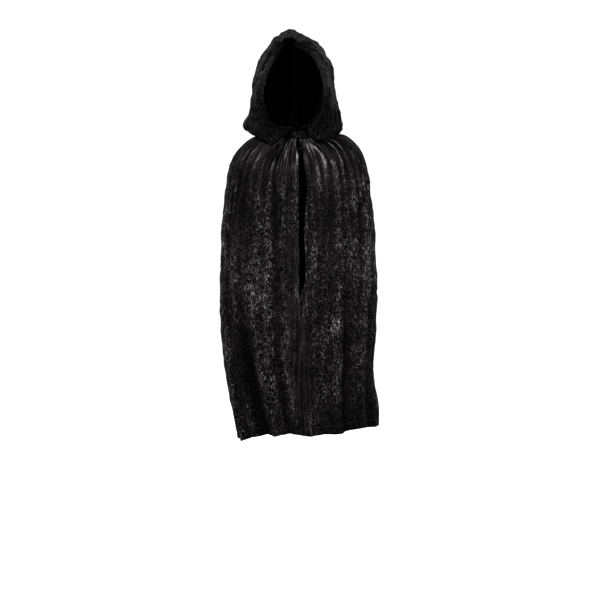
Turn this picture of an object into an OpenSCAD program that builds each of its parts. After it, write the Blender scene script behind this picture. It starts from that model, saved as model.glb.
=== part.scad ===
// Child's hooded cape in crushed velvet, hanging as it does when it is worn.
// The origin is the centre of the neck opening, +Z is up and the front faces -Y.
// The wearer's left side is +X.

/* [Cape] */
// Length from the neck seam down to the hem
cape_length = 718; // [560:1:900]
// Width across the shoulders
shoulder_width = 280; // [240:1:340]
// Widest width, at the elbows
cape_width = 384; // [340:1:470]
// Width at the hem
hem_width = 340; // [300:1:460]
// Depth from front to back at the hem
hem_depth = 308; // [260:1:400]
// Drop of the shoulder below the neck seam
shoulder_drop = 26; // [15:1:45]
// How much higher the wearer's left shoulder is than the right
shoulder_tilt = 8; // [0:1:16]
// Depth of the folds at the hem
fold_depth = 13; // [2:0.5:20]
// Sideways swing of the hem towards the wearer's left
hem_sway = 22; // [0:1:40]
// How much lower the hem hangs on the wearer's right than on the left
hem_dip = 26; // [0:1:50]

/* [Neck] */
// Inner radius of the neck band
neck_radius = 58; // [52:0.5:72]
// Height of the neck band
band_height = 16; // [12:0.5:24]
// Thickness of the folded neck band
band_t = 3; // [2:0.1:5]
// Half of the gap between the two ends of the neck band
band_gap = 5.5; // [3:0.5:9]

/* [Front opening] */
// Half of the front gap at the neck
gap_top = 6; // [3:0.5:10]
// Half of the front gap at the chest, where it is widest
gap_chest = 12; // [8:0.5:25]
// Half of the front gap at the hem
gap_hem = 4; // [2:0.5:12]

/* [Hood] */
// Height of the peak above the origin
hood_height = 262; // [220:1:310]
// Width where the hood spreads over the shoulders
hood_base_width = 244; // [210:1:262]
// Width at the wearer's temples
hood_width = 190; // [170:1:215]
// Distance from the neck axis forward to the face opening
hood_reach = 94; // [80:1:110]
// Distance from the neck axis back to the crown
hood_back = 134; // [110:1:150]
// Width of the face opening
face_width = 146; // [120:1:160]
// Sideways lean of the peak
hood_lean = -20; // [-30:1:0]

/* [Cloth] */
// Thickness given to the velvet and its backing
cloth_t = 2.4; // [1.5:0.1:4]
// Thickness given to a turned hem or facing
hem_t = 1.6; // [1:0.1:3]
// Clearance between layers and at seams
seam_gap = 0.4; // [0.3:0.05:0.6]
// Clearance between pieces that move past each other
move_gap = 0.8; // [0.5:0.1:2]

/* [Neck closure] */
// Height of the closing tab
tab_height = 13; // [9:0.5:16]
// Thickness of the tab and of its sewn end
tab_t = 2; // [1.2:0.1:3]
// Thickness of each hook-and-loop patch
patch_t = 1.2; // [0.8:0.1:2]
// Length of the flap along the neck
tab_length = 30; // [26:1:36]
// Length of each hook-and-loop patch along the neck
patch_length = 12; // [9:0.5:14]

/* [Inside the neck] */
// Width of the hanging loop from leg to leg
loop_width = 26; // [18:1:34]
// Drop of the hanging loop
loop_drop = 24; // [16:1:34]
// Diameter of the hanging loop's cord
loop_d = 3; // [2:0.5:4]
// Width of the blank care label
label_width = 20; // [14:1:26]
// Length of the blank care label
label_length = 28; // [16:1:32]
// Thickness of the blank care label
label_t = 0.8; // [0.5:0.1:1.2]
// Distance of the label from the centre of the back
label_offset = 42; // [38:1:48]

/* [Hidden] */
$fn = 64;

velvet = "#161417";
lining = "#1c1a1d";
trim = "#101011";

LEFT = 1;
RIGHT = -1;

// Grid of the cape's cloth: rows run from the neck to the hem, columns round the body.
rows = 20;
split_row = 7;
hem_row = 19;
front_cols = 12;
back_cols = 24;
facing_cols = 2;
fold_count = 12;

band_outer = neck_radius + band_t;
label_turn = asin(label_offset / neck_radius);
band_low = -6;
band_high = band_low + band_height;
sewn_z = band_low + band_height / 2;
seam_z = band_low - seam_gap - cloth_t / 2;
edge_r = neck_radius + band_t / 2;

function mix(a, b, w) = a + (b - a) * w;
function ramp(s, from) = s < from ? 0 : pow((s - from) / (1 - from), 2);

// A smooth curve through a list of stations: column c of row [place, value, value, ...].
function seg(t, s) = max([0, for (k = [0:len(t) - 2]) if (t[k][0] <= s) k]);
function slope(t, k, c) =
    let (lo = max(k - 1, 0), hi = min(k + 1, len(t) - 1))
    (t[hi][c] - t[lo][c]) / (t[hi][0] - t[lo][0]);
function at(t, s, c) =
    let (k = seg(t, s), h = t[k + 1][0] - t[k][0], w = (s - t[k][0]) / h, v = 1 - w)
    t[k][c] * v * v * (1 + 2 * w) + t[k + 1][c] * w * w * (1 + 2 * v)
    + slope(t, k, c) * h * v * v * w - slope(t, k + 1, c) * h * w * w * v;

// Cape stations: place from neck to hem, half width, side height,
// front reach, front height, back reach, back height.
half_shoulder = shoulder_width / 2;
half_cape = cape_width / 2;
half_hem = hem_width / 2;
half_depth = hem_depth / 2;
cape_stations = [
    [0.00, edge_r, seam_z, edge_r, seam_z, edge_r, seam_z],
    [0.06, mix(edge_r, half_shoulder, 0.52), seam_z + 6, edge_r + 9, seam_z - 22, edge_r + 19, seam_z - 12],
    [0.12, half_shoulder, seam_z - shoulder_drop * 0.6, edge_r + 19, seam_z - 50, edge_r + 34, seam_z - 40],
    [0.17, mix(half_shoulder, half_cape, 0.42), seam_z - shoulder_drop - 18,
        mix(edge_r, half_depth, 0.33), seam_z - 80, mix(edge_r, half_depth, 0.46), seam_z - 74],
    [0.24, mix(half_shoulder, half_cape, 0.66), -cape_length * 0.15,
        mix(edge_r, half_depth, 0.48), -cape_length * 0.17, mix(edge_r, half_depth, 0.57), -cape_length * 0.17],
    [0.35, mix(half_shoulder, half_cape, 0.86), -cape_length * 0.28,
        mix(edge_r, half_depth, 0.64), -cape_length * 0.28, mix(edge_r, half_depth, 0.68), -cape_length * 0.28],
    [0.52, half_cape - 1, -cape_length * 0.47,
        mix(edge_r, half_depth, 0.82), -cape_length * 0.47, mix(edge_r, half_depth, 0.82), -cape_length * 0.47],
    [0.68, half_cape, -cape_length * 0.64,
        mix(edge_r, half_depth, 0.93), -cape_length * 0.64, mix(edge_r, half_depth, 0.92), -cape_length * 0.64],
    [0.84, mix(half_hem, half_cape, 0.55), -cape_length * 0.82,
        half_depth - 2, -cape_length * 0.82, half_depth - 2, -cape_length * 0.82],
    [1.00, half_hem, -cape_length, half_depth, -cape_length, half_depth, -cape_length]];

// Half of the front gap: place from neck to hem, half gap.
gap_stations = [[0, gap_top], [0.22, gap_chest], [0.55, mix(gap_chest, gap_hem, 0.45)], [1, gap_hem]];

// A point of the cape's outer face: angle a from the front towards the wearer's left, place s.
function cape_point(a, s) =
    let (
        c = cos(a),
        reach = c > 0 ? at(cape_stations, s, 3) : at(cape_stations, s, 5),
        low = c > 0 ? at(cape_stations, s, 4) : at(cape_stations, s, 6),
        high = at(cape_stations, s, 2),
        fold = fold_depth * ramp(s, 0.05) * (1 - cos(fold_count * a)) / 2,
        x = (at(cape_stations, s, 1) - fold) * sin(a),
        y = -(reach - fold) * c,
        tilt = shoulder_tilt * pow(sin(180 * min(1, s / 0.24)), 2) * x / shoulder_width
            + hem_dip * ramp(s, 0.4) * x / cape_width)
    [x + hem_sway * ramp(s, 0.7), y, mix(high, low, c * c) + tilt];

// Places of the grid lines. A column may lie between two lines, so that a seam keeps its clearance.
function row_s(j) = j / rows;
function front_angle(i, s) =
    let (first = asin(at(gap_stations, s, 1) / at(cape_stations, s, 1)))
    mix(first, 90, i / front_cols);
function back_angle(i) = mix(90, 270, i / back_cols);

function unit(v) = v / norm(v);
function flip(p, side) = [p[0] * side, p[1], p[2]];

// Outer points, and the same points moved inwards by d along the cloth's own normal.
function cape_in(a, s, d) =
    let (
        e = 0.02,
        lo = max(s - e, 0),
        hi = min(s + e, 1),
        along = cape_point(a, hi) - cape_point(a, lo),
        round_ = cape_point(a + 1, s) - cape_point(a - 1, s))
    cape_point(a, s) + d * unit(cross(round_, along));

// A closed skin between two grids of points, rows by columns; way is -1 where the grid is mirrored.
module skin(top, under, way = 1) {
    m = len(top);
    n = len(top[0]);
    k = m * n;
    points = [for (g = [top, under]) for (r = g) for (p = r) p];
    quads = [
        for (j = [0:m - 2]) for (i = [0:n - 2])
            [j * n + i, j * n + i + 1, (j + 1) * n + i + 1, (j + 1) * n + i],
        for (j = [0:m - 2]) for (i = [0:n - 2])
            [k + j * n + i, k + (j + 1) * n + i, k + (j + 1) * n + i + 1, k + j * n + i + 1],
        for (i = [0:n - 2]) [i + 1, i, k + i, k + i + 1],
        for (i = [0:n - 2]) let (b = (m - 1) * n) [b + i, b + i + 1, k + b + i + 1, k + b + i],
        for (j = [0:m - 2]) [j * n, (j + 1) * n, k + (j + 1) * n, k + j * n],
        for (j = [0:m - 2]) let (b = n - 1)
            [(j + 1) * n + b, j * n + b, k + j * n + b, k + (j + 1) * n + b]];
    triangles = [for (q = quads) for (t = [[q[0], q[1], q[2]], [q[0], q[2], q[3]]])
        way > 0 ? t : [t[2], t[1], t[0]]];
    polyhedron(points, triangles);
}

// Grid numbers from one to another, the two ends drawn in by their own amounts.
function lines(from, to, in_from, in_to) =
    [for (k = [from:to]) k == from ? k + in_from : k == to ? k - in_to : k];

// Part of one front, between grid lines, from depth d0 to depth d1 inside the outer face.
module front_piece(side, cols, places, d0, d1) {
    grid = [for (d = [d0, d1]) [for (j = places) [for (i = cols)
        front_in(side, i, row_s(j), d)]]];
    skin(grid[0], grid[1], side);
}

function front_in(side, i, s, d) = cape_in(side * front_angle(i, s), s, d);

// Clearances as shares of one grid step: a column is about 22 mm wide and a row 36 mm long.
col_gap = seam_gap / 22;
move_row_gap = move_gap / 36;

module front_upper(side) {
    color(velvet)
        front_piece(side, lines(0, front_cols, 0, col_gap), lines(0, split_row, 0, move_row_gap), 0, cloth_t);
}

module front_lower(side) {
    color(velvet)
        front_piece(side, lines(0, front_cols, 0, col_gap), lines(split_row, rows, move_row_gap, 0),
            0, cloth_t);
}

module front_facing(side, from, to, in_from, in_to) {
    color(lining)
        front_piece(side, lines(0, facing_cols, 0, 0), lines(from, to, in_from, in_to),
            cloth_t + seam_gap, cloth_t + seam_gap + hem_t);
}

module front_hem(side) {
    color(lining)
        front_piece(side, lines(facing_cols, front_cols, col_gap * 2, col_gap), lines(hem_row, rows, 0, 0),
            cloth_t + seam_gap, cloth_t + seam_gap + hem_t);
}

module back_piece(places, d0, d1) {
    grid = [for (d = [d0, d1]) [for (j = places) [for (i = lines(0, back_cols, col_gap, col_gap))
        cape_in(back_angle(i), row_s(j), d)]]];
    skin(grid[0], grid[1]);
}

module back_panel() {
    color(velvet) back_piece(lines(0, rows, 0, 0), 0, cloth_t);
}

module back_hem() {
    color(lining) back_piece(lines(hem_row, rows, 0, 0), cloth_t + seam_gap, cloth_t + seam_gap + hem_t);
}

// The sewn end of the tab: its distance from the end of the band, and its length.
anchor_inset = 6;
anchor_length = 9;

// Places round the neck are angles from the front centre towards the wearer's left.
function arc_deg(len, r) = len / r * 180 / PI;

band_end = arc_deg(band_gap, band_outer);
loop_inner = band_outer + move_gap / 2;
hook_inner = loop_inner + patch_t + move_gap / 2;
tab_inner = hook_inner + patch_t + move_gap / 2;
tab_outer = tab_inner + tab_t;
tab_low = (band_low + band_high - tab_height) / 2;
tab_high = tab_low + tab_height;
anchor_from = band_end + arc_deg(anchor_inset, band_outer);
anchor_to = anchor_from + arc_deg(anchor_length, band_outer);
flap_to = anchor_from - arc_deg(move_gap / 2, tab_outer);
flap_from = flap_to - arc_deg(tab_length, tab_outer);
patch_from = -band_end - arc_deg(patch_length + 0.5, band_outer);
patch_to = -band_end - arc_deg(0.5, band_outer);

// Hood stations from the neck to the top of the face opening: place, half width,
// opening edge (across, forward, up), centre seam (back, up), droop of the roll beside the throat, lean.
half_hood = hood_width / 2;
half_base = hood_base_width / 2;
half_face = face_width / 2;
hood_low = band_high + move_gap + cloth_t / 2;
throat = 9;
hood_stations = [
    [0.00, edge_r, throat, sqrt(edge_r * edge_r - throat * throat), hood_low + 4, edge_r, hood_low, 0, 0],
    [0.06, mix(edge_r, half_base, 0.7), throat + 5, hood_reach - 15, 17, edge_r + 28, 4, 28, -3],
    [0.13, half_base, throat + 22, hood_reach - 6, 18, hood_back - 28, 26, 12, -10],
    [0.26, mix(half_base, half_hood, 0.35), half_face - 14, hood_reach - 2, hood_height * 0.14,
        hood_back - 10, hood_height * 0.29, 0, -10],
    [0.41, mix(half_base, half_hood, 0.72), half_face, hood_reach, hood_height * 0.33,
        hood_back, hood_height * 0.5, 0, -10],
    [0.56, half_hood, half_face - 5, hood_reach, hood_height * 0.5, hood_back - 6, hood_height * 0.71, 0, -9],
    [0.71, half_hood * 0.89, half_face - 17, hood_reach - 1, hood_height * 0.65,
        hood_back * 0.77, hood_height * 0.87, 0, -6],
    [0.83, half_hood * 0.72, half_face - 33, hood_reach - 3, hood_height * 0.76,
        hood_back * 0.42, hood_height * 0.96, 0, -7],
    [0.93, half_hood * 0.51, half_face - 50, hood_reach - 5, hood_height * 0.83,
        0, hood_height, 0, hood_lean + 4],
    [1.00, half_hood * 0.26, half_face - 62, hood_reach - 7, hood_height * 0.865,
        10 - hood_reach, hood_height * 0.91, 0, hood_lean]];
hood_rows = 16;
hood_cols = 12;
tape_share = 0.36;

// A point of the hood's outer face: p runs from the opening edge to the centre seam, q from neck to top.
function hood_point(p, q) =
    let (
        w = at(hood_stations, q, 1),
        start = -acos(min(0.999, at(hood_stations, q, 2) / w)),
        a = mix(start, 90, p),
        front = -at(hood_stations, q, 3),
        back = at(hood_stations, q, 5),
        depth = (back - front) / (1 - sin(start)),
        roll = pow(sin(180 * sqrt(max(0, min(1, (p - 0.02) / 0.58)))), 2),
        z = mix(at(hood_stations, q, 4), at(hood_stations, q, 6), p) - at(hood_stations, q, 7) * roll)
    [w * cos(a), back - depth + depth * sin(a), z];

function hood_in(side, p, q, d) =
    let (
        e = 0.01,
        p0 = max(p - e, 0),
        p1 = min(p + e, 1),
        q0 = max(q - e, 0),
        q1 = min(q + e, 1),
        along = hood_point(p, q1) - hood_point(p, q0),
        round_ = hood_point(p1, q) - hood_point(p0, q),
        inward = p > 0.999 ? [0, cross(round_, along)[1], cross(round_, along)[2]] : cross(round_, along),
        v = hood_point(p, q) - d * unit(inward))
    flip([max(v[0], p > 0.999 ? 0 : seam_gap), v[1], v[2]], side)
    + [at(hood_stations, q, 8) + (p > 0.999 ? side * seam_gap / 2 : 0), 0, 0];

function hood_grid(side, cols, places, d) =
    [for (j = places) [for (i = cols) hood_in(side, i / hood_cols, j / hood_rows, d)]];

module hood_half(side) {
    color(velvet)
        skin(hood_grid(side, lines(0, hood_cols, 0, 0), lines(0, hood_rows, 0, 0), 0),
            hood_grid(side, lines(0, hood_cols, 0, 0), lines(0, hood_rows, 0, 0), cloth_t), -side);
}

module hood_hem(side) {
    inner = cloth_t + seam_gap;
    color(lining)
        skin(hood_grid(side, lines(0, 1, 0, 0), lines(2, hood_rows - 1, 0, 0), inner),
            hood_grid(side, lines(0, 1, 0, 0), lines(2, hood_rows - 1, 0, 0), inner + hem_t), -side);
}

// The tape covers the centre seam inside, from one half across to the other.
module hood_seam_tape() {
    inner = cloth_t + seam_gap;
    places = lines(1, hood_rows - 1, 0, 0);
    grid = [for (d = [inner, inner + hem_t]) [for (j = places) [
        for (k = [-1:1])
            let (side = k > 0 ? LEFT : RIGHT, q = j / hood_rows, beside = (hood_cols - 1) / hood_cols)
            mix(hood_in(side, 1, q, d), hood_in(side, beside, q, d), abs(k) * tape_share)]]];
    color(trim) skin(grid[0], grid[1]);
}

// A piece of the ring that lies round the neck: angles from the front centre towards the wearer's left.
module neck_arc(from, to, inner, thick, low, high) {
    rotate([0, 0, from - 90])
        rotate_extrude(angle = to - from)
            translate([inner, low])
                square([thick, high - low]);
}

module neck_band() {
    color(velvet) neck_arc(band_end, 360 - band_end, neck_radius, band_t, band_low, band_high);
}

// The sewn end of the tab, folded under and stitched to the band.
module tab_anchor() {
    color(velvet) neck_arc(anchor_from, anchor_to, loop_inner, tab_outer - loop_inner, tab_low, tab_high);
}

module neck_tab() {
    color(velvet) neck_arc(flap_from, flap_to, tab_inner, tab_t, tab_low, tab_high);
}

module hook_patch() {
    color(trim) neck_arc(patch_from, patch_to, hook_inner, patch_t, tab_low + 1, tab_high - 1);
}

module loop_patch() {
    color(trim) neck_arc(patch_from, patch_to, loop_inner, patch_t, tab_low + 1, tab_high - 1);
}

// The hanging loop: a cord sewn in at the back of the neck, with two legs and a round bottom.
module hanger_loop() {
    half = loop_width / 2 - loop_d / 2;
    leg_r = neck_radius - move_gap / 2 - loop_d / 2;
    y = sqrt(leg_r * leg_r - half * half);
    low = band_low - loop_drop + half;
    color(trim) translate([0, y, 0]) {
        for (x = [-half, half])
            translate([x, 0, low]) cylinder(d = loop_d, h = sewn_z - low);
        translate([0, 0, low])
            rotate([90, 0, 0])
                rotate([0, 0, 180])
                    rotate_extrude(angle = 180)
                        translate([half, 0]) circle(d = loop_d);
    }
}

// A blank label hangs beside the loop, square to the band.
module care_label() {
    corner_r = neck_radius - move_gap / 2;
    y = sqrt(corner_r * corner_r - label_width * label_width / 4) - label_t;
    color("#e8e6e2")
        rotate([0, 0, -label_turn])
            translate([-label_width / 2, y, sewn_z - label_length])
                cube([label_width, label_t, label_length]);
}

back_panel();
back_hem();
front_upper(LEFT);  // front_left_upper
front_lower(LEFT);  // front_left_lower
front_facing(LEFT, 1, split_row, 0, move_row_gap);  // front_left_facing_upper
front_facing(LEFT, split_row, rows, move_row_gap, 0);  // front_left_facing
front_hem(LEFT);  // front_left_hem
front_upper(RIGHT);  // front_right_upper
front_lower(RIGHT);  // front_right_lower
front_facing(RIGHT, 1, split_row, 0, move_row_gap);  // front_right_facing_upper
front_facing(RIGHT, split_row, rows, move_row_gap, 0);  // front_right_facing
front_hem(RIGHT);  // front_right_hem
hood_half(LEFT);  // hood_left
hood_half(RIGHT);  // hood_right
hood_hem(LEFT);  // hood_left_hem
hood_hem(RIGHT);  // hood_right_hem
hood_seam_tape();
neck_band();
tab_anchor();
neck_tab();
hook_patch();
loop_patch();
hanger_loop();
care_label();
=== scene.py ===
"""A child's hooded cape in black crushed velvet, hung as it is worn: hood up, fronts falling almost shut."""

import math
from functools import partial

import bpy
import numpy as np
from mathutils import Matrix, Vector


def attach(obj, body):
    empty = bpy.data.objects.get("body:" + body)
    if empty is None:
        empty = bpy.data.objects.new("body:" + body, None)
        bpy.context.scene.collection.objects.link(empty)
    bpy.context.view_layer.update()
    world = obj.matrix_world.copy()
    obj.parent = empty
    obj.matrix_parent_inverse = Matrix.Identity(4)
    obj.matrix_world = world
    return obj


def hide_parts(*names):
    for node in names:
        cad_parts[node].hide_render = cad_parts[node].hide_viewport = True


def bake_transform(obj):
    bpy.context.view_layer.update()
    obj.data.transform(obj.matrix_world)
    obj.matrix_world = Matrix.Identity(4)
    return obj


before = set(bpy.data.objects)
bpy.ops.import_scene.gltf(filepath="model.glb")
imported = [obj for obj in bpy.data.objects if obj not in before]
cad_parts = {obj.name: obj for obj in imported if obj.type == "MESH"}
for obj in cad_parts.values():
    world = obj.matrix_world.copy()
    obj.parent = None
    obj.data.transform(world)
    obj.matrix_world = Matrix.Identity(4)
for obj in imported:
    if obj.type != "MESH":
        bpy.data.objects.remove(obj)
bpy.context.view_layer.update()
bpy.ops.object.select_all(action="DESELECT")

# ---------------------------------------------------------------------------------------------
# The studio and the camera. A round white cove and large soft lights; the camera stands five metres
# away at the height of the wearer's chest. The cove glows a little, and doesn't light the velvet.


def to_linear(hex_colour):
    """An sRGB hex colour as linear red, green, blue and alpha."""
    parts = [int(hex_colour[i:i + 2], 16) / 255 for i in (1, 3, 5)]
    return [p / 12.92 if p <= 0.04045 else ((p + 0.055) / 1.055) ** 2.4 for p in parts] + [1.0]


def tube_faces(base, rings, sides):
    """Faces of a closed tube whose points start at base: its sides, then a cap on each end."""
    quads = [(base + r * sides + k, base + r * sides + (k + 1) % sides,
              base + (r + 1) * sides + (k + 1) % sides, base + (r + 1) * sides + k)
             for r in range(rings - 1) for k in range(sides)]
    return quads + [tuple(base + k for k in range(sides))[::-1],
                    tuple(base + (rings - 1) * sides + k for k in range(sides))]


def add_piece(name, mesh, materials):
    """A new object from a mesh, alone selected and active."""
    for material in materials:
        mesh.materials.append(material)
    piece = bpy.data.objects.new(name, mesh)
    bpy.context.collection.objects.link(piece)
    bpy.ops.object.select_all(action="DESELECT")
    bpy.context.view_layer.objects.active = piece
    piece.select_set(True)
    return piece


def turn_outwards():
    """Makes the faces of the active piece point outwards."""
    bpy.ops.object.mode_set(mode="EDIT")
    bpy.ops.mesh.select_all(action="SELECT")
    bpy.ops.mesh.normals_make_consistent(inside=False)
    bpy.ops.object.mode_set(mode="OBJECT")


def new_material(name):
    """A material with its node tree and its shader."""
    material = bpy.data.materials.new(name)
    material.use_nodes = True
    return material, material.node_tree, material.node_tree.nodes["Principled BSDF"]


FLOOR_Z = -1.056
COVE_R, COVE_ROUND, COVE_H = 8.0, 1.5, 6.0
COVE_SIDES = 72
floor_mesh = bpy.data.meshes.new("floor")
profile = [(0.01, 0.0), (1.0, 0.0), (COVE_R - COVE_ROUND, 0.0)] + [
    (COVE_R - COVE_ROUND * (1 - math.sin(t)), COVE_ROUND * (1 - math.cos(t)))
    for t in np.linspace(0.1, math.pi / 2, 10)] + [(COVE_R, COVE_H)]
turns = np.linspace(0, 2 * math.pi, COVE_SIDES + 1)[:-1]
floor_mesh.from_pydata([(r * math.cos(t), r * math.sin(t), FLOOR_Z + z) for r, z in profile for t in turns], [],
                       tube_faces(0, len(profile), COVE_SIDES)[:-1])
floor_mesh.flip_normals()
floor = bpy.data.objects.new("floor", floor_mesh)
bpy.context.collection.objects.link(floor)
for face in floor_mesh.polygons:
    face.use_smooth = True
paper, tree, shader = new_material("studio_paper")
shader.inputs["Base Color"].default_value = to_linear("#f4f4f3")
shader.inputs["Roughness"].default_value = 0.9
shader.inputs["Emission Color"].default_value = to_linear("#ffffff")
shader.inputs["Emission Strength"].default_value = 0.9
floor.visible_diffuse = floor.visible_glossy = False
floor_mesh.materials.append(paper)


def soft_light(name, place, target, size, power):
    data = bpy.data.lights.new(name, "AREA")
    data.shape, data.size, data.energy = "DISK", size, power
    lamp = bpy.data.objects.new(name, data)
    bpy.context.collection.objects.link(lamp)
    lamp.location = place
    lamp.rotation_euler = (Vector(target) - Vector(place)).to_track_quat("-Z", "Y").to_euler()


soft_light("key", (-1.5, -2.6, 1.9), (0, 0, -0.3), 0.7, 135)
soft_light("fill", (2.4, -2.2, 1.1), (0, 0, -0.3), 0.9, 75)
soft_light("back_left", (-2.2, 2.6, 1.9), (0, 0, -0.3), 1.0, 80)
soft_light("back_right", (2.2, 2.2, 1.5), (0, 0, -0.3), 1.0, 75)
world = bpy.data.worlds.new("studio")
world.use_nodes = True
world.node_tree.nodes["Background"].inputs["Color"].default_value = (1, 1, 1, 1)
world.node_tree.nodes["Background"].inputs["Strength"].default_value = 0.16
bpy.context.scene.world = world

camera_data = bpy.data.cameras.new("camera")
camera_data.sensor_width, camera_data.lens = 36.0, 124.9
camera = bpy.data.objects.new("camera", camera_data)
bpy.context.collection.objects.link(camera)
camera.location = (0.005, -5.1, -0.2)
camera.rotation_euler = (math.pi / 2 - math.atan2(0.199, 5.05), 0, 0)
bpy.context.scene.camera = camera
bpy.context.scene.view_settings.view_transform = "Standard"

# ---------------------------------------------------------------------------------------------
# Cape cloth. The real cape is a wide piece of crushed panne velvet, gathered into the neck
# and left to hang. The surface below is the hang of that cloth, from the neck seam down over the
# shoulders to the hem; the two fronts and the back are cut from it and meet at the sides.

NECK_R = 0.0595
SEAM_Z = -0.0076
LENGTH = 0.718
SHOULDER, ELBOW, HEM, DEPTH = 0.140, 0.192, 0.170, 0.154


def mix(a, b, w):
    return a + (b - a) * w


# Place from neck to hem, half width, side height, front reach, front height, back reach, back height.
CAPE_STATIONS = np.array([
    [0.00, NECK_R, SEAM_Z, NECK_R, SEAM_Z, NECK_R, SEAM_Z],
    [0.06, mix(NECK_R, SHOULDER, 0.52), SEAM_Z + 0.006, NECK_R + 0.009, SEAM_Z - 0.022,
     NECK_R + 0.019, SEAM_Z - 0.012],
    [0.12, SHOULDER, SEAM_Z - 0.0156, NECK_R + 0.019, SEAM_Z - 0.050, NECK_R + 0.034, SEAM_Z - 0.040],
    [0.17, mix(SHOULDER, ELBOW, 0.42), SEAM_Z - 0.044, mix(NECK_R, DEPTH, 0.33), SEAM_Z - 0.080,
     mix(NECK_R, DEPTH, 0.46), SEAM_Z - 0.074],
    [0.24, mix(SHOULDER, ELBOW, 0.66), -LENGTH * 0.15, mix(NECK_R, DEPTH, 0.48), -LENGTH * 0.17,
     mix(NECK_R, DEPTH, 0.57), -LENGTH * 0.17],
    [0.35, mix(SHOULDER, ELBOW, 0.86), -LENGTH * 0.28, mix(NECK_R, DEPTH, 0.64), -LENGTH * 0.28,
     mix(NECK_R, DEPTH, 0.68), -LENGTH * 0.28],
    [0.52, ELBOW - 0.001, -LENGTH * 0.47, mix(NECK_R, DEPTH, 0.82), -LENGTH * 0.47,
     mix(NECK_R, DEPTH, 0.82), -LENGTH * 0.47],
    [0.68, ELBOW, -LENGTH * 0.64, mix(NECK_R, DEPTH, 0.93), -LENGTH * 0.64,
     mix(NECK_R, DEPTH, 0.92), -LENGTH * 0.64],
    [0.84, mix(HEM, ELBOW, 0.55), -LENGTH * 0.82, DEPTH - 0.002, -LENGTH * 0.82,
     DEPTH - 0.002, -LENGTH * 0.82],
    [1.00, HEM, -LENGTH, DEPTH, -LENGTH, DEPTH, -LENGTH]])


def smooth_curve(stations, place, column):
    """A smooth curve through one column of a list of stations."""
    t, v = stations[:, 0], stations[:, column]
    slope = np.gradient(v, t)
    slope[1:-1] = (v[2:] - v[:-2]) / (t[2:] - t[:-2])
    k = np.clip(np.searchsorted(t, place, side="right") - 1, 0, len(t) - 2)
    h = t[k + 1] - t[k]
    w = (place - t[k]) / h
    u = 1 - w
    return (v[k] * u * u * (1 + 2 * w) + v[k + 1] * w * w * (1 + 2 * u)
            + slope[k] * h * u * u * w - slope[k + 1] * h * w * w * u)


def ease(x, low, high):
    """0 below low, 1 above high, and smooth between them."""
    t = np.clip((x - low) / (high - low), 0, 1)
    return t * t * (3 - 2 * t)


def hump(x, width):
    """A soft ridge of height 1 at x = 0."""
    return np.exp(-(x / width) ** 2)


def wander(x, seed):
    """A smooth wave without a period, between about -1 and 1."""
    rng = np.random.default_rng(seed)
    total = 0
    for k in range(5):
        stretch, shift = rng.uniform(0.8, 1.2), rng.uniform(0, 6.3)
        total = total + np.sin(x * (1 + 0.83 * k) * stretch + shift) / (1 + 0.45 * k)
    return total / 2.2


def crumple(u, v, size, seed):
    """Smooth lumps of about the given size over a flat cloth, between about -1 and 1."""
    grid = np.random.default_rng(seed).uniform(-1, 1, (64, 64))
    x, y = u / size + 7.3, v / size + 3.1
    i, j = np.floor(x).astype(int), np.floor(y).astype(int)
    fx, fy = ease(x - i, 0, 1), ease(y - j, 0, 1)
    a, b = grid[i % 64, j % 64], grid[(i + 1) % 64, j % 64]
    c, d = grid[i % 64, (j + 1) % 64], grid[(i + 1) % 64, (j + 1) % 64]
    return mix(mix(a, b, fx), mix(c, d, fx), fy)


# Long folds: angle at the neck and at the hem in degrees from the front towards the wearer's left,
# half width in degrees, depth at the hem, and where on the way down the fold starts and is full.
FOLDS = [
    (-8, -5, 2.2, 0.006, 0.05, 0.30), (-20, -15, 4.0, 0.015, 0.06, 0.45), (-33, -24, 3.0, 0.007, 0.15, 0.45),
    (-50, -41, 7.0, 0.028, 0.50, 0.85), (-67, -61, 4.5, 0.010, 0.30, 0.70), (-84, -81, 3.0, 0.008, 0.40, 0.80),
    (9, 8, 2.0, 0.007, 0.05, 0.30), (17, 14, 2.4, 0.008, 0.05, 0.35), (27, 24, 3.4, 0.008, 0.06, 0.35),
    (40, 38, 6.0, 0.017, 0.25, 0.75), (56, 50, 3.6, 0.006, 0.12, 0.50), (72, 66, 6.0, 0.016, 0.35, 0.80),
    (98, 97, 5, 0.014, 0.2, 0.6), (114, 112, 6, 0.018, 0.12, 0.7),
    (132, 128, 6, 0.016, 0.1, 0.5), (148, 146, 5, 0.017, 0.06, 0.6), (163, 161, 6, 0.015, 0.05, 0.5),
    (179, 178, 6, 0.019, 0.08, 0.6), (194, 196, 5, 0.016, 0.05, 0.5), (209, 212, 6, 0.018, 0.08, 0.6),
    (226, 229, 6, 0.015, 0.1, 0.5), (243, 245, 6, 0.018, 0.15, 0.7), (260, 262, 5, 0.013, 0.2, 0.6)]


def cape_base(a, s):
    """The hang of the cloth without its folds, at angle a in degrees and place s."""
    c = np.cos(np.radians(a))
    front = c > 0
    reach = np.where(front, smooth_curve(CAPE_STATIONS, s, 3), smooth_curve(CAPE_STATIONS, s, 5))
    low = np.where(front, smooth_curve(CAPE_STATIONS, s, 4), smooth_curve(CAPE_STATIONS, s, 6))
    high = smooth_curve(CAPE_STATIONS, s, 2)
    x = smooth_curve(CAPE_STATIONS, s, 1) * np.sin(np.radians(a))
    sway = 0.022 * np.clip((s - 0.7) / 0.3, 0, 1) ** 2
    tilt = (0.008 * np.sin(math.pi * np.minimum(1, s / 0.24)) ** 2 * x / 0.280
            + 0.026 * np.clip((s - 0.4) / 0.6, 0, 1) ** 2 * x / 0.384)
    return np.stack([x + sway, -reach * c, mix(high, low, c * c) + tilt], axis=-1)


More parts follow.
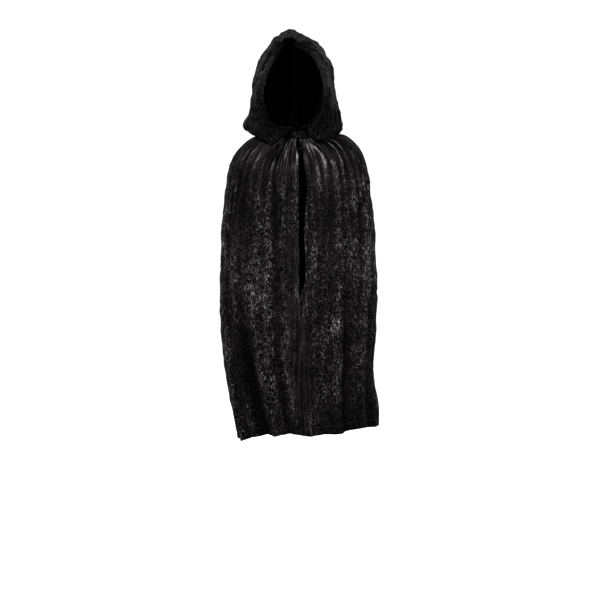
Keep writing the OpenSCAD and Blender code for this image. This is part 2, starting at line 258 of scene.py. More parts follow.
def cape_folds(a, s):
    """How far the cloth lies inside the base surface: gathers at the neck, which run out into long folds."""
    turn = ((a + 180) % 360) - 180
    rad = np.radians(turn)
    wobble = wander(rad * 9, 3) * 1.2
    fine = 0.5 - 0.5 * np.cos(rad * 78 + wobble + wander(s * 14, 5) * 0.6)
    fine_depth = 0.0050 * ease(s, -0.03, 0.02) * (1 - ease(s, 0.08, 0.30))
    fine_depth = fine_depth * (0.8 + 0.5 * wander(rad * 5, 11))
    mid = 0.5 - 0.5 * np.cos(rad * 43 + wander(rad * 4, 17) * 1.8 + wander(s * 9 + rad * 2, 19) * 0.8)
    strong = 1 + 0.7 * hump(turn - 32, 26)
    mid_depth = 0.0066 * ease(s, 0.03, 0.12) * (1 - ease(s, 0.18, 0.52)) * strong
    mid_depth = mid_depth * np.clip(0.7 + 0.6 * wander(rad * 3.3, 23), 0.1, 1.5)
    slack = 0.5 - 0.5 * np.cos(rad * 27 + wander(rad * 3, 61) * 2.2 + wander(s * 5 + rad, 67) * 1.2)
    slack_depth = 0.0022 * ease(s, 0.2, 0.5) * np.clip(1.1 * wander(rad * 4.1 + s * 7, 71), 0, 1.4)
    d = fine ** 1.5 * fine_depth + mid ** 1.6 * mid_depth + slack ** 1.5 * slack_depth
    for top, hem, width, depth, start, full in FOLDS:
        centre = mix(top, hem, s) + 1.5 * wander(s * 6 + top, 29)
        off = (turn - centre + 180) % 360 - 180
        lean = 1 + 0.35 * np.tanh(off / width)
        d = d + depth * 0.9 * ease(s, start, full) * hump(off, width * lean * (0.75 + 0.35 * s))
    across, along = rad * (0.06 + 0.13 * np.minimum(1, s * 3)), s * LENGTH
    worn = ease(s, 0.04, 0.3)
    d = d + 0.0014 * worn * crumple(across, along * 0.5, 0.012, 37)
    d = d + 0.0008 * worn * crumple(across, along * 0.7, 0.0062, 38)
    d = d + 0.0030 * worn * crumple(across + along * 0.35, along * 0.6, 0.034, 39)
    d = d + 0.0018 * hump(np.abs(turn) - 90, 2.2)
    return d


def cape_surface(a, s, inside=0.0):
    """Points of the folded cloth, moved inside it by a given depth."""
    e, step = 0.8, 0.006
    s0, s1 = np.clip(s - step, 0, 1), np.clip(s + step, 0, 1)
    down = cape_base(a, s1) - cape_base(a, s0)
    along = cape_base(a + e, s) - cape_base(a - e, s)
    normal = np.cross(down, along)
    normal /= np.linalg.norm(normal, axis=-1, keepdims=True)
    out = cape_base(a, s) - normal * (cape_folds(a, s) + inside)[..., None]
    side = np.sin(np.radians(a))
    out[..., 2] += (0.006 + 0.0015 * side) * hump(s - 0.085, 0.05) * np.abs(side) ** 3
    out[..., 0] += 0.004 * hump(s - 0.5, 0.14) * np.maximum(side, 0) ** 4
    hem = ease(s, 0.86, 1.0)
    out[..., 2] -= hem * 0.011 * hump(a - 132, 14)
    out[..., 2] += hem * (0.004 * wander(out[..., 0] * 22 + out[..., 1] * 14, 41) - 0.014 * hump(a + 74, 16))
    out[..., 0] += ease(s, 0.8, 1.0) * 0.010 * hump(a - 84, 22)
    return out


# How far across the two free edges hang, from the throat to the hem: place, right front, left front.
# They are nearly shut at the throat, open over the chest, and meet again below it.
EDGES = np.array([
    [0.00, -0.0060, 0.0060], [0.04, -0.0050, 0.0075], [0.09, -0.0010, 0.0130], [0.16, 0.0015, 0.0190],
    [0.24, 0.0020, 0.0235], [0.31, 0.0012, 0.0200], [0.39, 0.0005, 0.0165], [0.47, 0.0022, 0.0195],
    [0.53, 0.0022, 0.0190], [0.575, 0.0022, 0.0085], [0.60, 0.0024, 0.0046], [0.75, 0.0010, 0.0026],
    [0.88, -0.0045, -0.0036], [1.00, -0.0128, -0.0122]])


def front_edge(side, s):
    """Angle of a front's free edge."""
    across = smooth_curve(EDGES, s, 2 if side > 0 else 1)
    return np.degrees(np.arcsin(across / smooth_curve(CAPE_STATIONS, s, 1)))


def add_node(tree, kind, settings=None, links=None):
    """One shader node, with its settings and the sockets that feed it."""
    node = tree.nodes.new(kind)
    for key, value in (settings or {}).items():
        if isinstance(key, int) or key in node.inputs:
            node.inputs[key].default_value = value
        else:
            setattr(node, key, value)
    for key, source in (links or {}).items():
        tree.links.new(source, node.inputs[key])
    return node


# Crushed panne velvet: polyester pile on a knitted ground, laid flat in all directions by pressing. The pile
# lies in fine creases that catch the light as grey lines, and the rest is near black. The grey lines are
# painted sheen: along the creases the base colour is lifted from near black towards pale grey, more where the
# pile is more crushed and where more painted sheen is set. The creases run through noise about 7 mm and 5 mm
# across, coarser than the real ones, so that they show.
VELVET, tree, shader = new_material("crushed_panne_velvet")
flat = add_node(tree, "ShaderNodeUVMap", {"uv_map": "cloth"}).outputs["UV"]
crush_and_sheen = add_node(tree, "ShaderNodeAttribute", {"attribute_name": "crush_and_sheen"}).outputs["Fac"]
long_way = add_node(tree, "ShaderNodeVectorMath", {"operation": "MULTIPLY", 1: (1.0, 0.6, 1.0)}, {0: flat})
lines = []
for scale, width in ((140.0, 0.052), (215.0, 0.06)):
    noise = add_node(tree, "ShaderNodeTexNoise", {"Scale": scale, "Detail": 1.0, "Roughness": 0.4,
                                                  "Distortion": 0.8}, {"Vector": long_way.outputs[0]})
    middle = add_node(tree, "ShaderNodeMath", {"operation": "SUBTRACT", 1: 0.5}, {0: noise.outputs["Fac"]})
    away = add_node(tree, "ShaderNodeMath", {"operation": "ABSOLUTE"}, {0: middle.outputs[0]})
    line = add_node(tree, "ShaderNodeMapRange", {"interpolation_type": "SMOOTHSTEP", "From Max": width,
                                                 "To Min": 1.0, "To Max": 0.0}, {"Value": away.outputs[0]})
    lines.append(line.outputs["Result"])
pull = add_node(tree, "ShaderNodeAttribute", {"attribute_name": "pull"}).outputs["Fac"]
pulled_way = add_node(tree, "ShaderNodeVectorMath", {"operation": "MULTIPLY", 1: (1.0, 0.09, 1.0)}, {0: flat})
pulled = add_node(tree, "ShaderNodeTexNoise", {"Scale": 95.0, "Detail": 1.0}, {"Vector": pulled_way.outputs[0]})
middle = add_node(tree, "ShaderNodeMath", {"operation": "SUBTRACT", 1: 0.5}, {0: pulled.outputs["Fac"]})
away = add_node(tree, "ShaderNodeMath", {"operation": "ABSOLUTE"}, {0: middle.outputs[0]})
streak = add_node(tree, "ShaderNodeMapRange", {"interpolation_type": "SMOOTHSTEP", "From Max": 0.10,
                                               "To Min": 0.95, "To Max": 0.0}, {"Value": away.outputs[0]})
patch = add_node(tree, "ShaderNodeTexNoise", {"Scale": 17.0, "Detail": 3.0, "Roughness": 0.6}, {"Vector": flat})
crackle = add_node(tree, "ShaderNodeMath", {"operation": "MULTIPLY_ADD", 1: 0.6}, {0: lines[1], 2: lines[0]})
creases = add_node(tree, "ShaderNodeMix", links={0: pull, 2: crackle.outputs[0], 3: streak.outputs[0]})
spread = add_node(tree, "ShaderNodeMapRange", {"From Min": 0.34, "From Max": 0.66, "To Min": 0.6},
                  {"Value": patch.outputs["Fac"]})
amount = add_node(tree, "ShaderNodeMath", {"operation": "MULTIPLY"}, {0: spread.outputs[0], 1: crush_and_sheen})
# Painted sheen: the creases, scaled by the patches and by how much crushed pile and painted sheen each place
# has, lift the base colour from near black to pale grey.
shine = add_node(tree, "ShaderNodeMath", {"operation": "MULTIPLY", "use_clamp": True},
                 {0: creases.outputs[0], 1: amount.outputs[0]})
shade = add_node(tree, "ShaderNodeValToRGB", links={"Fac": shine.outputs[0]})
shade.color_ramp.elements[0].position, shade.color_ramp.elements[0].color = 0.0, to_linear("#020202")
shade.color_ramp.elements[1].position, shade.color_ramp.elements[1].color = 1.0, to_linear("#cdc8ca")
shade.color_ramp.elements.new(0.35).color = to_linear("#302d2f")
tree.links.new(shade.outputs["Color"], shader.inputs["Base Color"])
rough = add_node(tree, "ShaderNodeMapRange", {"To Min": 0.65, "To Max": 0.4}, {"Value": shine.outputs[0]})
tree.links.new(rough.outputs["Result"], shader.inputs["Roughness"])
bump = add_node(tree, "ShaderNodeBump", {"Strength": 0.9, "Distance": 0.0016}, {"Height": creases.outputs[0]})
tree.links.new(bump.outputs["Normal"], shader.inputs["Normal"])
shader.inputs["Specular IOR Level"].default_value = 0.03

# The knitted back of the velvet: dull black jersey, with wales about a millimetre apart, drawn about
# 3 mm apart so that they show.
JERSEY, tree, shader = new_material("velvet_jersey_back")
flat = add_node(tree, "ShaderNodeUVMap", {"uv_map": "cloth"}).outputs["UV"]
wales = add_node(tree, "ShaderNodeTexWave", {"Scale": 100.0, "Distortion": 1.2, "Detail": 2.0},
                 {"Vector": flat})
cloud = add_node(tree, "ShaderNodeTexNoise", {"Scale": 40.0, "Detail": 4.0}, {"Vector": flat})
shade = add_node(tree, "ShaderNodeValToRGB", links={"Fac": cloud.outputs["Fac"]})
shade.color_ramp.elements[0].position, shade.color_ramp.elements[0].color = 0.3, to_linear("#0c0b0c")
shade.color_ramp.elements[1].position, shade.color_ramp.elements[1].color = 0.8, to_linear("#1c1a1c")
tree.links.new(shade.outputs["Color"], shader.inputs["Base Color"])
bump = add_node(tree, "ShaderNodeBump", {"Strength": 0.5, "Distance": 0.0006},
                {"Height": wales.outputs["Fac"]})
tree.links.new(bump.outputs["Normal"], shader.inputs["Normal"])
shader.inputs["Roughness"].default_value = 0.88
shader.inputs["Specular IOR Level"].default_value = 0.1

CLOTH_T = 0.0013
TURNED = 0.0029  # the pile side of a turned edge lies this far inside the outer face


def cloth_piece(name, points, across, down, crush_and_sheen, pull=0.0, thick=CLOTH_T, materials=None):
    """A piece of cloth from a grid of points on its pile side. across and down are the grid's places on the
    flat cloth, in metres, the next grid is how much its pile was crushed and how much painted sheen its creases
    show, and pull how much its gathers comb it."""
    rows, cols = points.shape[:2]
    mesh = bpy.data.meshes.new(name)
    quads = [(j * cols + i, (j + 1) * cols + i, (j + 1) * cols + i + 1, j * cols + i + 1)
             for j in range(rows - 1) for i in range(cols - 1)]
    mesh.from_pydata(points.reshape(-1, 3).tolist(), [], quads)
    layer = mesh.uv_layers.new(name="cloth")
    places = np.stack([across, down], axis=-1).reshape(-1, 2)
    index = np.empty(len(mesh.loops), dtype=int)
    mesh.loops.foreach_get("vertex_index", index)
    layer.data.foreach_set("uv", places[index].astype(np.float32).ravel())
    for word, value in (("crush_and_sheen", crush_and_sheen), ("pull", pull)):
        kept = mesh.attributes.new(word, "FLOAT", "POINT")
        kept.data.foreach_set("value", np.broadcast_to(value, across.shape).astype(np.float32).ravel())
    piece = add_piece(name, mesh, materials or (VELVET, JERSEY))
    wall = piece.modifiers.new("wall", "SOLIDIFY")
    wall.thickness, wall.offset, wall.use_even_offset = thick, -1.0, False
    wall.material_offset = len(mesh.materials) - 1
    bpy.ops.object.modifier_apply(modifier=wall.name)
    bpy.ops.object.shade_smooth()
    return piece


def cape_crush_sheen_and_shade(a, s):
    """How much crushed pile and painted sheen the velvet shows: most over the elbows, the shoulders and the
    gathers at the neck, as painted highlights, and at the front hem; painted shade makes it less in the fold
    valleys and in a few darker patches.
    """
    turn = ((a + 180) % 360) - 180
    # Most of these spots are painted light: painted highlights over the shoulder towards the key lamp, the
    # elbows and the gathers at the neck, and, where it is less, painted shade in the deep fold low on the
    # wearer's right and where the two fronts meet.
    # Angle, place, half width, half height and how much more.
    spots = [(-34, 0.58, 8, 0.10, 0.06), (62, 0.52, 12, 0.10, 0.12), (0, 0.72, 6, 0.25, -0.16),
             (-50, 0.80, 7, 0.10, -0.2), (-52, 0.14, 14, 0.05, 0.15), (0, 0.1, 34, 0.06, 0.25),
             (30, 0.12, 20, 0.09, 0.35), (4, 0.97, 5, 0.04, 0.25), (30, 0.68, 8, 0.03, 0.25)]
    amount = 0.43 + 0.09 * wander(np.radians(turn) * 5 + s * 3, 81)
    for angle, place, wide, high, more in spots:
        amount = amount + more * hump(turn - angle, wide) * hump(s - place, high)
    # Painted shade: a darker band on the wearer's right front, and less towards the hem on the wearer's left.
    amount = amount - 0.30 * hump(turn + 48, 8) * hump(s - 0.3, 0.1)
    amount = amount - 0.3 * ease(s, 0.85, 1.0) * hump(turn - 40, 25)
    # Painted shade: the deeper a place lies in a fold, the less painted sheen it gets, and the ridges get more.
    ridge = np.clip(1.4 - cape_folds(a, s) / mix(0.006, 0.018, ease(s, 0.1, 0.6)), 0.2, 1.4)
    return np.clip(amount * ridge, 0.05, 2.0)


def cape_pull(a, s):
    """How far the gathers comb the pile into lines: at the neck, and along the two front edges."""
    turn = ((a + 180) % 360) - 180
    return np.clip(0.85 * (1 - ease(s, 0.06, 0.32)) + 0.55 * hump(turn, 7) * ease(s, 0.3, 0.5), 0, 0.9)


# Rows run from a seam allowance inside the neck binding down to the hem, and up again inside it.
BODY_ROWS = 205
HEM_TURN = 0.018
HEM_STITCH, FACING_STITCH, HOOD_STITCH = 0.016, 0.0235, 0.0225  # rows of stitches, from their edges
rows_s = np.concatenate([[0, 0], np.linspace(0, 1, BODY_ROWS)[1:] ** 1.12, [1, 1],
                         1 - HEM_TURN / LENGTH * np.linspace(0.06, 1, 5)])
rows_in = np.concatenate([np.zeros(BODY_ROWS + 1), [TURNED / 2], np.full(6, TURNED)])
rows_lift = np.concatenate([[0.0046], np.zeros(BODY_ROWS), [-0.0012], np.zeros(6)])
rows_flat = np.concatenate([[-0.006], rows_s[1:BODY_ROWS + 1] * 0.755, 0.755 + np.array([0.001, 0.002]),
                            0.757 + HEM_TURN * np.linspace(0.06, 1, 5)])


def along_hem(s_rows):
    """A shallow groove where the hem is stitched, 16 mm above its edge."""
    return 0.0007 * hump((1 - s_rows) * LENGTH - HEM_STITCH, 0.0016) * ease(s_rows, 0.5, 0.6)


# Left and right fronts: one piece of velvet each, from the throat to the side seam, with its free
# edge and its hem turned in and topstitched.
FRONT_COLS = 150
FRONT_W, FRONT_L = 0.35, 0.785
FACING = 0.026
for side, word in ((1, "left"), (-1, "right")):
    w_main = np.linspace(0, 1, FRONT_COLS) ** 1.05
    cols_w = np.concatenate([np.zeros(7), w_main])
    cols_face = np.concatenate([np.linspace(1, 0.06, 5), [0, 0], np.zeros(FRONT_COLS)])
    cols_in = np.concatenate([np.full(6, TURNED), [TURNED / 2], np.zeros(FRONT_COLS)])
    cols_out = np.concatenate([np.zeros(6), [0.0011], np.zeros(FRONT_COLS)])
    s, w = np.meshgrid(rows_s, cols_w, indexing="ij")
    face = cols_face[None, :] * np.degrees(FACING / smooth_curve(CAPE_STATIONS, s, 1)) * ease(s, -0.1, 0.08)
    edge = front_edge(side, s)
    a = mix(edge, 90.0 * side, w) + face * side
    inner = np.maximum(rows_in[:, None], cols_in[None, :]) + np.minimum(rows_in[:, None], cols_in[None, :])
    beside = np.abs(a - edge) / 57.3 * smooth_curve(CAPE_STATIONS, s, 1)
    inner = inner + 0.0007 * hump(beside - FACING_STITCH, 0.0016) * ease(s, 0.03, 0.08) + along_hem(s)
    grid = cape_surface(a, s, inner)
    grid[..., 2] += rows_lift[:, None]
    grid[..., 0] -= cols_out[None, :] * side
    flat_u = (cols_w * FRONT_W - FACING * cols_face)[None, :] * side + 3 * side + 0 * s
    flat_v = rows_flat[:, None] + 0 * s
    sheets = [grid, flat_u, flat_v, cape_crush_sheen_and_shade(a, s), cape_pull(a, s)]
    front = cloth_piece(f"{word}_front_velvet", *(sheet[:, ::side] for sheet in sheets))
    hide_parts(f"front_{word}_upper", f"front_{word}_lower", f"front_{word}_facing_upper",
                f"front_{word}_facing", f"front_{word}_hem")
    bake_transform(front)

# Back: one piece of velvet from side seam to side seam, gathered to half of the neckline. Its seam
# allowances lie under the edges of the fronts.
BACK_COLS = 216
BACK_W = 0.66
under = np.array([-9.0, -7.5, -6, -4.5, -3, -1.5])
cols_a = np.concatenate([90 + under, np.linspace(90, 270, BACK_COLS), 270 - under[::-1]])
s, a = np.meshgrid(rows_s, cols_a, indexing="ij")
past_seam = np.minimum(a - 90, 270 - a)
inner = rows_in[:, None] + TURNED * (1 - ease(past_seam, -1.4, 0.9)) + along_hem(s)
grid = cape_surface(a, s, inner)
grid[..., 2] += rows_lift[:, None]
back = cloth_piece("back_velvet", grid, (a - 90) / 180 * BACK_W, rows_flat[:, None] + 0 * s,
                   cape_crush_sheen_and_shade(a, s), cape_pull(a, s))
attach(back, "cape")
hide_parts("back_panel", "back_hem")

# ---------------------------------------------------------------------------------------------
# Hood: two mirrored halves of the same velvet, sewn together over the crown and down the back.
# It is wider than the neck, so its lower edge rolls out over the shoulders before it is gathered in.

THROAT = 0.009
BASE, TEMPLE, FACE, PEAK, REACH, CROWN = 0.122, 0.095, 0.073, 0.262, 0.094, 0.134
HOOD_LOW = 0.012
# Place from neck to brow, half width, opening edge (across, forward, up), centre seam (back, up),
# droop, lean.
HOOD_STATIONS = np.array([
    [0.00, NECK_R, THROAT, math.sqrt(NECK_R ** 2 - THROAT ** 2), HOOD_LOW + 0.004, NECK_R, HOOD_LOW, 0, 0],
    [0.06, mix(NECK_R, BASE, 0.7), THROAT + 0.005, REACH - 0.015, 0.017, NECK_R + 0.028, 0.004, 0.028, -0.003],
    [0.13, BASE, THROAT + 0.022, REACH - 0.006, 0.018, CROWN - 0.028, 0.026, 0.012, -0.010],
    [0.26, mix(BASE, TEMPLE, 0.35), FACE - 0.014, REACH - 0.002, PEAK * 0.14,
     CROWN - 0.010, PEAK * 0.29, 0, -0.010],
    [0.41, mix(BASE, TEMPLE, 0.72), FACE, REACH, PEAK * 0.33, CROWN, PEAK * 0.50, 0, -0.010],
    [0.56, TEMPLE, FACE - 0.005, REACH, PEAK * 0.50, CROWN - 0.006, PEAK * 0.71, 0, -0.009],
    [0.71, TEMPLE * 0.87, FACE - 0.018, REACH - 0.001, PEAK * 0.63, CROWN * 0.77, PEAK * 0.87, 0, -0.008],
    [0.83, TEMPLE * 0.67, FACE - 0.034, REACH - 0.003, PEAK * 0.73, CROWN * 0.42, PEAK * 0.96, 0, -0.010],
    [0.93, TEMPLE * 0.44, FACE - 0.051, REACH - 0.005, PEAK * 0.79, 0.0, PEAK, 0, -0.018],
    [1.00, TEMPLE * 0.20, FACE - 0.064, REACH - 0.007, PEAK * 0.815, 0.006 - REACH, PEAK * 0.89, 0, -0.021]])


def hood_base(p, q):
    """The left half of the hood: p runs from the opening edge to the centre seam, q from neck to brow."""
    width = smooth_curve(HOOD_STATIONS, q, 1)
    start = -np.arccos(np.minimum(0.999, smooth_curve(HOOD_STATIONS, q, 2) / width))
    a = mix(start, math.pi / 2, p)
    front, rear = -smooth_curve(HOOD_STATIONS, q, 3), smooth_curve(HOOD_STATIONS, q, 5)
    depth = (rear - front) / (1 - np.sin(start))
    roll = np.sin(np.pi * np.sqrt(np.clip((p - 0.02) / 0.58, 0, 1))) ** 2 * smooth_curve(HOOD_STATIONS, q, 7)
    z = mix(smooth_curve(HOOD_STATIONS, q, 4), smooth_curve(HOOD_STATIONS, q, 6), p) - roll
    return np.stack([width * np.cos(a), rear - depth + depth * np.sin(a), z], axis=-1)


HOOD_W, HOOD_L = 0.27, 0.37
EDGE_BAND = 0.024


def hood_surface(side, p, q, inside=0.0):
    """Points of the hood with its gathers, drape lines and turned front edge."""
    e = 0.004
    p0, p1, q0, q1 = np.clip(p - e, 0, 1), np.clip(p + e, 0, 1), np.clip(q - e, 0, 1), np.clip(q + e, 0, 1)
    up = hood_base(p, q1) - hood_base(p, q0)
    along = hood_base(p1, q) - hood_base(p0, q)
    normal = np.cross(along, up)
    normal /= np.linalg.norm(normal, axis=-1, keepdims=True)
    seed = 50 + side
    u, v = p * HOOD_W, q * HOOD_L
    gather = (0.5 - 0.5 * np.cos(p * 165 + wander(p * 12, seed) * 1.6)) ** 1.4
    d = 0.003 * gather * ease(q, -0.02, 0.02) * (1 - ease(q, 0.05, 0.2))
    wide = (0.5 - 0.5 * np.cos(p * 74 + wander(p * 9 + q * 4, seed + 1) * 2.0)) ** 1.4
    d = d + 0.0042 * wide * ease(q, 0.04, 0.12) * (1 - ease(q, 0.2, 0.5)) * ease(p, 0.06, 0.16)
    drape = wander(p * 17 + q * 3.2, seed + 2) * ease(q, 0.1, 0.3) * (1 - ease(q, 0.55, 0.98))
    d = d + 0.0034 * drape * ease(p, 0.08, 0.25) * (1 - ease(p, 0.9, 1.0))
    brow = np.sin(p * 42 + q * 4 + wander(q * 7, seed + 3)) * ease(q, 0.45, 0.7) * hump(p - 0.22, 0.2)
    d = d + 0.0020 * brow
    loose = ease(p, 0.03, 0.1) * ease(q, 0.02, 0.1)
    d = d + 0.0015 * loose * crumple(u, v * 0.6, 0.012, seed + 7)
    d = d + 0.0008 * loose * crumple(u, v * 0.7, 0.0062, seed + 8)
    d = d + 0.0030 * loose * crumple(u + v * 0.4, v, 0.036, seed + 9) * (1 - ease(p, 0.9, 1))
    for line, depth in ((0.008, 0.0010), (0.0155, 0.0012), (HOOD_STITCH, 0.0016)):
        d = d + depth * hump(u - line, 0.0018) * ease(q, 0.06, 0.14)
    d = d + 0.0024 * hump((1 - p) * HOOD_W, 0.004)
    middle = p > 0.999
    normal[middle, 0] = 0
    out = hood_base(p, q) - normal * (d + inside)[..., None]
    lean = smooth_curve(HOOD_STATIONS, q, 8)
    out[..., 0] = np.where(middle, 0, np.maximum(out[..., 0], 0.0004)) * side + lean
    heavy = hump(q - 0.07, 0.05) * hump(p - 0.13, 0.09) * (0.010 if side < 0 else 0.002)
    out[..., 2] -= heavy
    out[..., 1] -= heavy * 0.7
    return out


HOOD_ROWS, HOOD_COLS = 170, 140
hood_q = np.concatenate([[0], np.linspace(0, 1, HOOD_ROWS)])
hood_drop = np.concatenate([[-0.0055], np.zeros(HOOD_ROWS)])
hood_p = np.concatenate([EDGE_BAND / HOOD_W * np.linspace(1, 0.06, 5), [0, 0], np.linspace(0, 1, HOOD_COLS)])
hood_in = np.concatenate([np.full(6, TURNED), [TURNED / 2], np.zeros(HOOD_COLS)])
hood_flat = np.concatenate([-EDGE_BAND * np.linspace(1, 0.06, 5), [-0.001, -0.0005],
                            np.linspace(0, 1, HOOD_COLS) * HOOD_W])
for side, word in ((1, "left"), (-1, "right")):
    q, p = np.meshgrid(hood_q, hood_p, indexing="ij")
    grid = hood_surface(side, p, q, hood_in[None, :] * ease(q, 0, 0.04))
    grid[..., 2] += hood_drop[:, None]
    # How much crushed pile and painted sheen the hood's creases show: less than on the cape, and a little more
    # low down.
    crush_and_sheen = np.clip(0.18 + 0.09 * wander(p * 9 + q * 5, 91 + side) + 0.1 * hump(q - 0.12, 0.1), 0.1, 2)
    flat_u, flat_v = hood_flat[None, :] + 5 + side + 0 * q, -q * HOOD_L - hood_drop[:, None]
    grid, flat_u, flat_v, crush_and_sheen = grid[::-1], flat_u[::-1], flat_v[::-1], crush_and_sheen[::-1]
    if side < 0:
        grid, flat_u, flat_v, crush_and_sheen = grid[:, ::-1], flat_u[:, ::-1], flat_v[:, ::-1], crush_and_sheen[:, ::-1]
    half = cloth_piece(f"hood_{word}_velvet", grid, flat_u, flat_v, crush_and_sheen)
    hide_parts(f"hood_{word}", f"hood_{word}_hem")
    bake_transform(half)

# ---------------------------------------------------------------------------------------------
# Neck binding: a strip of the velvet folded round the gathered seam of cape and hood, and stitched
# through. It is 16 mm high and puckers a little where the gathers push against it.

BAND_R = (0.0577, 0.0614)
BAND_Z = (-0.0064, 0.0104)
band_turn = np.linspace(5.4, 354.6, 420)
ring = np.linspace(0, 2 * math.pi, 25)[:-1]
angle, t = np.meshgrid(np.radians(band_turn), ring, indexing="ij")
cos_t, sin_t = np.cos(t), np.sin(t)
pucker = 1 + 0.10 * wander(angle * 30, 101) * np.abs(cos_t) + 0.05 * np.cos(angle * 90)
end_round = np.sqrt(np.clip(1 - (np.abs(np.degrees(angle) - 180) - 173.2).clip(0) ** 2 / 1.45 ** 2, 0.02, 1))
half_r, half_z = (BAND_R[1] - BAND_R[0]) / 2, (BAND_Z[1] - BAND_Z[0]) / 2
radius = sum(BAND_R) / 2 + half_r * np.sign(cos_t) * np.abs(cos_t) ** 0.5 * pucker * end_round
level = sum(BAND_Z) / 2 + half_z * np.sign(sin_t) * np.abs(sin_t) ** 0.6
points = np.stack([radius * np.sin(angle), -radius * np.cos(angle), level], axis=-1).reshape(-1, 3)
turns, sides = angle.shape
mesh = bpy.data.meshes.new("neck_binding")
mesh.from_pydata(points.tolist(), [], tube_faces(0, turns, sides))
layer = mesh.uv_layers.new(name="cloth")
for loop in mesh.loops:
    i, j = divmod(loop.vertex_index, sides)
    layer.data[loop.index].uv = (math.radians(band_turn[i]) * 0.0595 + 9, abs(j - sides / 2) * 0.0028)
# The binding's creases show an even, middling amount of painted sheen.
crush_and_sheen_layer = mesh.attributes.new("crush_and_sheen", "FLOAT", "POINT")
crush_and_sheen_layer.data.foreach_set("value", np.full(len(points), 0.3, dtype=np.float32))
binding = add_piece("neck_binding", mesh, [VELVET])
turn_outwards()
bpy.ops.object.shade_smooth()
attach(binding, "cape")
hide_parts("neck_band")

# ---------------------------------------------------------------------------------------------
# Stitching: black polyester thread, topstitched 16 mm above the hems, along the turned front edges,
# round the face opening and through the neck binding. Real stitches are 3 mm long.

THREAD, tree, shader = new_material("black_polyester_thread")
place = add_node(tree, "ShaderNodeTexCoord").outputs["Object"]
ply = add_node(tree, "ShaderNodeTexNoise", {"Scale": 900.0, "Detail": 1.0}, {"Vector": place})
shade = add_node(tree, "ShaderNodeValToRGB", links={"Fac": ply.outputs["Fac"]})
shade.color_ramp.elements[0].position, shade.color_ramp.elements[0].color = 0.35, to_linear("#0b0a0b")
shade.color_ramp.elements[1].position, shade.color_ramp.elements[1].color = 0.7, to_linear("#2b292b")
tree.links.new(shade.outputs["Color"], shader.inputs["Base Color"])
shader.inputs["Roughness"].default_value = 0.45


def normals_of(surface, u, v, du, dv):
    """Outward directions of a surface function on two parameters, along a line of places."""
    normal = np.cross(surface(u, v + dv) - surface(u, v - dv), surface(u + du, v) - surface(u - du, v))
    return normal / np.linalg.norm(normal, axis=-1, keepdims=True)


def sewing(name, path, out, pitch=0.0038, length=0.0029, radius=0.00034):
    """A row of stitches along a line of points, lying on the cloth whose outward directions are given."""
    far = np.concatenate([[0], np.cumsum(np.linalg.norm(np.diff(path, axis=0), axis=1))])
    starts = np.arange(pitch * 0.5, far[-1] - pitch, pitch)
    rings, sides = 5, 6
    along = np.linspace(0, 1, rings)
    swell = np.sqrt(np.clip(1 - (2 * along - 1) ** 4, 0.05, 1))
    turn = np.linspace(0, 2 * math.pi, sides + 1)[:-1]
    at = (starts[:, None] + along[None, :] * length).ravel()
    centre = np.stack([np.interp(at, far, path[:, k]) for k in range(3)], axis=-1)
    up = np.stack([np.interp(at, far, out[:, k]) for k in range(3)], axis=-1)
    up /= np.linalg.norm(up, axis=-1, keepdims=True)
    ahead = np.stack([np.interp(at + 0.0004, far, path[:, k]) for k in range(3)], axis=-1) - centre
    beside = np.cross(ahead, up)
    beside /= np.linalg.norm(beside, axis=-1, keepdims=True)
    rise = np.tile(swell, len(starts))[:, None]
    points = (centre[:, None] + up[:, None] * (np.sin(turn)[None, :, None] * radius * rise[..., None]
                                               + (radius * (rise - 0.6))[..., None])
              + beside[:, None] * np.cos(turn)[None, :, None] * radius * rise[..., None]).reshape(-1, 3)
    faces = []
    for n in range(len(starts)):
        faces += tube_faces(n * rings * sides, rings, sides)
    mesh = bpy.data.meshes.new(name)
    mesh.from_pydata(points.tolist(), [], faces)
    row = add_piece(name, mesh, [THREAD])
    turn_outwards()
    bpy.ops.object.shade_smooth()
    return row


HEM_LINE = 1 - HEM_STITCH / LENGTH
for side, word in ((1, "left"), (-1, "right")):
    s = np.linspace(0.02, HEM_LINE, 1500)
    a = front_edge(side, s) + side * np.degrees(FACING_STITCH / smooth_curve(CAPE_STATIONS, s, 1))
    row = sewing(f"{word}_front_edge_stitches", cape_surface(a, s), normals_of(cape_surface, a, s, 0.4, 0.003))
    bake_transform(row)
    a = np.linspace(front_edge(side, HEM_LINE) + side * 9, side * 89, 900)
    s = np.full(900, HEM_LINE)
    row = sewing(f"{word}_front_hem_stitches", cape_surface(a, s), normals_of(cape_surface, a, s, 0.4, 0.003))
    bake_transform(row)
    q = np.linspace(0.03, 0.985, 900)
    p = np.full(900, HOOD_STITCH / HOOD_W)
    half_surface = partial(hood_surface, side)
    out = normals_of(half_surface, p, q, 0.004, 0.004) * -side
    row = sewing(f"hood_{word}_edge_stitches", half_surface(p, q), out)
    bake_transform(row)
a = np.linspace(92, 268, 1500)
s = np.full(1500, HEM_LINE)
row = sewing("back_hem_stitches", cape_surface(a, s), normals_of(cape_surface, a, s, 0.4, 0.003))
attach(row, "cape")
angle = np.radians(np.linspace(6, 354, 900))
out = np.stack([np.sin(angle), -np.cos(angle), 0 * angle], axis=-1)
for word, level in (("lower", -0.0035), ("upper", 0.0075)):
    row = sewing(f"neck_binding_{word}_stitches", out * 0.0616 + [0, 0, level], out)
    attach(row, "cape")

# ---------------------------------------------------------------------------------------------
# Neck closure: a short tab of doubled velvet, sewn to the binding at the wearer's left and closing on
# the right with hook-and-loop tape. Its outer end is rounded and the layers are stitched round the edge.


